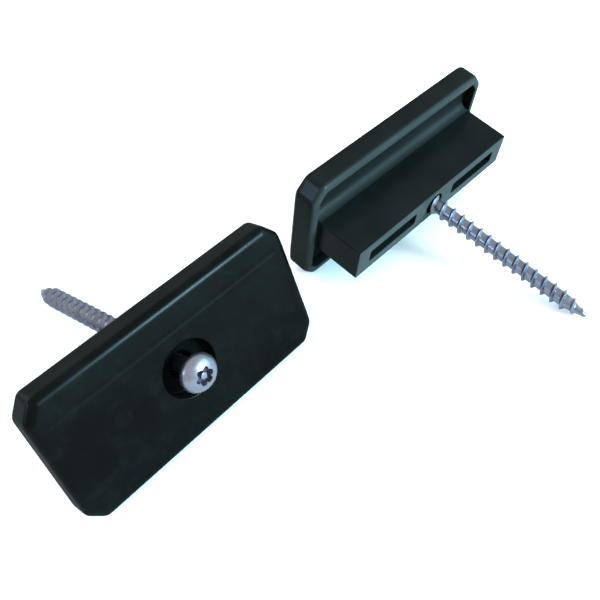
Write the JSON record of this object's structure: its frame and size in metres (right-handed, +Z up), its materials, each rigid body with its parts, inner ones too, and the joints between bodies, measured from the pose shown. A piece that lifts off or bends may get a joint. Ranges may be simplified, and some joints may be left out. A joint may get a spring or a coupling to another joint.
{
  "type": "screw-fixed panel clamp pair",
  "caption": "T-section moulded clamp blocks, each with a long tamper-resistant button-head wood screw through its recessed centre, for holding panel or mesh edges to timber.",
  "frame": {"origin": "centre of the pair's footprint, at floor level", "axes": "+Z up, +X along the length of both blocks, from block a to block b; block a faces -Y and block b faces +Y"},
  "size_m": [0.219, 0.1774, 0.0513],
  "materials": {
    "block_plastic": "satin moulded, very dark green-black",
    "screw_steel": "bright blue-grey plated or stainless steel, rolled thread"
  },
  "bodies": {
    "block_a": {"clamp_block_a": "block_plastic"},
    "screw_a": {"wood_screw_a": "screw_steel"},
    "block_b": {"clamp_block_b": "block_plastic"},
    "screw_b": {"wood_screw_b": "screw_steel"}
  },
  "joints": [
    {"name": "screw_a_slide", "type": "slide", "parent": "block_a", "child": "screw_a", "axis": [0, -0.9679, 0.2514], "range_m": [-0.0085, 0.1065]},
    {"name": "unit_b_slide", "type": "slide", "parent": "block_a", "child": "block_b", "axis": [1, 0, 0], "range_m": [-0.015, 0.15]},
    {"name": "screw_b_slide", "type": "slide", "parent": "block_b", "child": "screw_b", "axis": [0.0203, 0.9691, 0.2459], "range_m": [-0.0065, 0.1085]}
  ]
}
